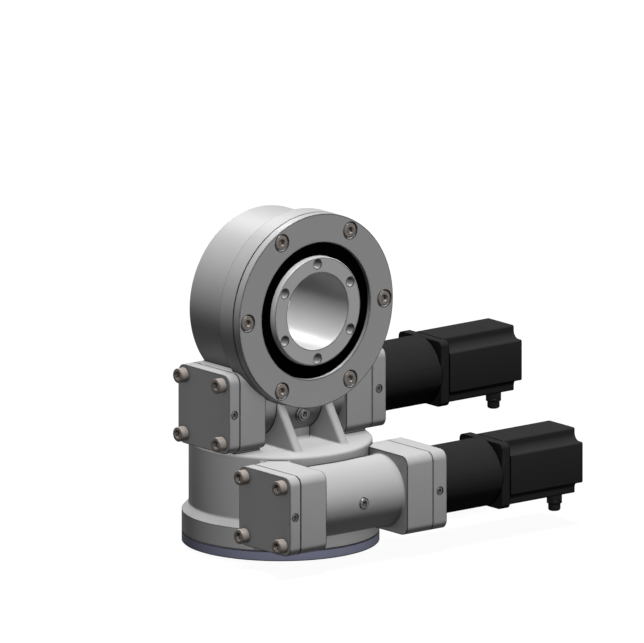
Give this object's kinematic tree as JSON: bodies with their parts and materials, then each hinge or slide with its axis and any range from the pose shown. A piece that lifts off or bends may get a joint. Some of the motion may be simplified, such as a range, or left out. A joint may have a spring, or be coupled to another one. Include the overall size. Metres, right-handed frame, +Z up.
{
  "type": "dual-axis slew drive",
  "caption": "Dual-axis worm slew drive for a solar tracker: a ring drive lying on the post carries an upright ring drive that tilts the panel frame, each turned by a gear motor.",
  "frame": {"origin": "centre of the azimuth ring's mounting face, on the azimuth axis", "axes": "+Z up along the azimuth axis, +X along both worms towards the motors, -Y out of the elevation ring's mounting face"},
  "size_m": [0.339, 0.2039, 0.2985],
  "materials": {
    "casting": "grey painted casting with machined faces",
    "plate": "grey satin, milled",
    "base_plate": "blue-grey satin, turned",
    "ring_steel": "satin, turned",
    "worm_steel": "ground",
    "bearing_steel": "polished",
    "cage_brass": "satin",
    "screw_steel": "warm grey alloy steel",
    "seal_rubber": "matte black",
    "black_paint": "satin black",
    "connector_plastic": "matte black"
  },
  "bodies": {
    "post_ring": {"azimuth_ring": "ring_steel"},
    "azimuth_ball_row": {"azimuth_balls": "cage_brass"},
    "casting": {"housing": "casting", "azimuth_cover": "base_plate", "azimuth_seal": "seal_rubber", "azimuth_bearing_end": "bearing_steel", "azimuth_bearing_motor": "bearing_steel", "azimuth_end_cap": "plate", "azimuth_adapter": "plate", "azimuth_gearbox": "black_paint", "azimuth_motor": "black_paint", "azimuth_connector": "connector_plastic", "azimuth_cap_plug": "screw_steel", "azimuth_adapter_plug": "screw_steel", "azimuth_grease_plug": "screw_steel", "azimuth_cover_screw_1": "screw_steel", "azimuth_cover_screw_2": "screw_steel", "azimuth_cover_screw_3": "screw_steel", "azimuth_cover_screw_4": "screw_steel", "azimuth_cover_screw_5": "screw_steel", "azimuth_cover_screw_6": "screw_steel", "azimuth_cap_screw_1": "screw_steel", "azimuth_cap_screw_2": "screw_steel", "azimuth_cap_screw_3": "screw_steel", "azimuth_cap_screw_4": "screw_steel", "azimuth_adapter_screw_1": "screw_steel", "azimuth_adapter_screw_2": "screw_steel", "azimuth_adapter_screw_3": "screw_steel", "azimuth_adapter_screw_4": "screw_steel", "elevation_cover": "plate", "elevation_seal": "seal_rubber", "elevation_bearing_end": "bearing_steel", "elevation_bearing_motor": "bearing_steel", "elevation_end_cap": "plate", "elevation_adapter": "plate", "elevation_gearbox": "black_paint", "elevation_motor": "black_paint", "elevation_connector": "connector_plastic", "elevation_cap_plug": "screw_steel", "elevation_adapter_plug": "screw_steel", "elevation_grease_plug": "screw_steel", "elevation_cover_screw_1": "screw_steel", "elevation_cover_screw_2": "screw_steel", "elevation_cover_screw_3": "screw_steel", "elevation_cover_screw_4": "screw_steel", "elevation_cover_screw_5": "screw_steel", "elevation_cover_screw_6": "screw_steel", "elevation_cap_screw_1": "screw_steel", "elevation_cap_screw_2": "screw_steel", "elevation_cap_screw_3": "screw_steel", "elevation_cap_screw_4": "screw_steel", "elevation_adapter_screw_1": "screw_steel", "elevation_adapter_screw_2": "screw_steel", "elevation_adapter_screw_3": "screw_steel", "elevation_adapter_screw_4": "screw_steel"},
    "azimuth_worm_shaft": {"azimuth_worm": "worm_steel"},
    "frame_ring": {"elevation_ring": "ring_steel"},
    "elevation_ball_row": {"elevation_balls": "cage_brass"},
    "elevation_worm_shaft": {"elevation_worm": "worm_steel"}
  },
  "joints": [
    {"name": "azimuth_turn", "type": "hinge", "parent": "post_ring", "child": "casting", "pos_m": [0, 0, 0.054], "axis": [0, 0, 1], "continuous": true},
    {"name": "azimuth_balls_roll", "type": "hinge", "parent": "post_ring", "child": "azimuth_ball_row", "pos_m": [0, 0, 0.054], "axis": [0, 0, 1], "continuous": true},
    {"name": "azimuth_worm_turn", "type": "hinge", "parent": "casting", "child": "azimuth_worm_shaft", "pos_m": [0, -0.0834, 0.054], "axis": [1, 0, 0], "continuous": true},
    {"name": "elevation_turn", "type": "hinge", "parent": "casting", "child": "frame_ring", "pos_m": [0, -0.0488, 0.213], "axis": [0, -1, 0], "continuous": true},
    {"name": "elevation_balls_roll", "type": "hinge", "parent": "casting", "child": "elevation_ball_row", "pos_m": [0, -0.0488, 0.213], "axis": [0, -1, 0], "continuous": true},
    {"name": "elevation_worm_turn", "type": "hinge", "parent": "casting", "child": "elevation_worm_shaft", "pos_m": [0, 0, 0.1296], "axis": [1, 0, 0], "continuous": true}
  ],
  "couplings": [
    {"joint": "azimuth_worm_turn", "follows": "azimuth_turn", "ratio": 62},
    {"joint": "azimuth_balls_roll", "follows": "azimuth_turn", "ratio": 0.5},
    {"joint": "elevation_worm_turn", "follows": "elevation_turn", "ratio": -62},
    {"joint": "elevation_balls_roll", "follows": "elevation_turn", "ratio": 0.5}
  ]
}
